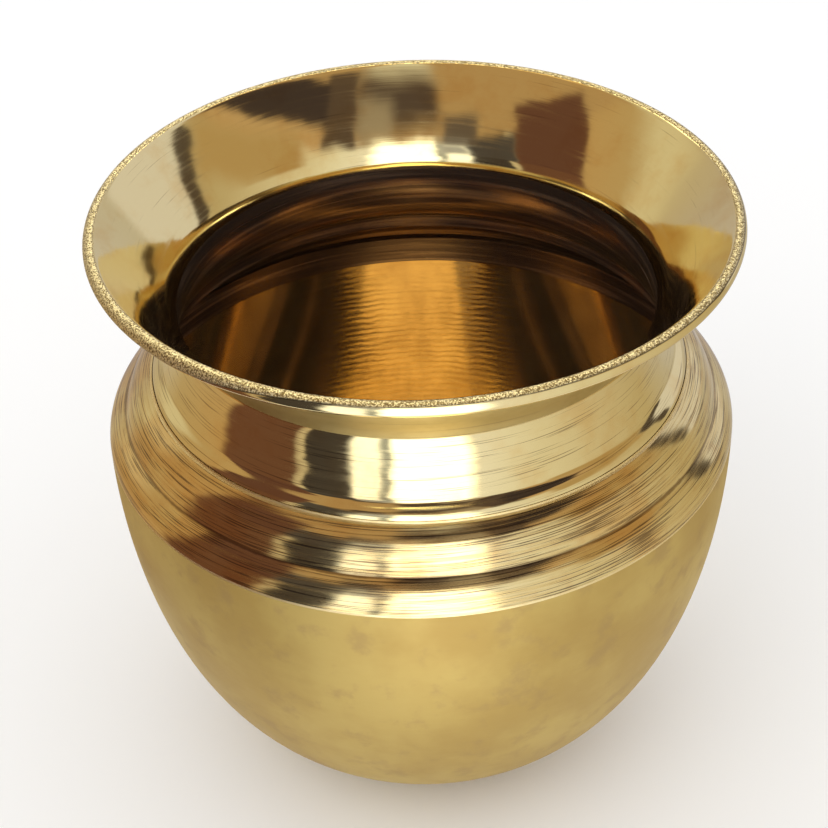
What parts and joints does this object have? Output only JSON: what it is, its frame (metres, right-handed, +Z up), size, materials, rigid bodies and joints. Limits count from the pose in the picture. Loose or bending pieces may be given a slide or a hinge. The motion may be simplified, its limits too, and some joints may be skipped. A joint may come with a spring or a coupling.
{
  "type": "lota water pot",
  "caption": "Round-bellied water pot of sheet brass with a stepped shoulder, a drawn-in neck and a flared mouth with a rolled lip.",
  "frame": {"origin": "centre of the foot, on the surface that the pot stands on", "axes": "+Z up along the pot's own axis; the pot is round, so X and Y are any two square directions across it"},
  "size_m": [0.1002, 0.1002, 0.0997],
  "materials": {
    "satin_brass": "satin, cloudy, lightly stained",
    "turned_brass": "polished on a lathe, with fine turning rings",
    "polished_brass": "polished, with a grained lip",
    "wire_brass": "drawn wire",
    "braze_brass": "filed flush and polished"
  },
  "bodies": {
    "root": {"bowl": "satin_brass", "belly_seam_braze": "braze_brass", "shoulder": "turned_brass", "neck_seam_braze": "braze_brass", "neck_and_mouth": "polished_brass", "rim_wire": "wire_brass"}
  },
  "joints": []
}
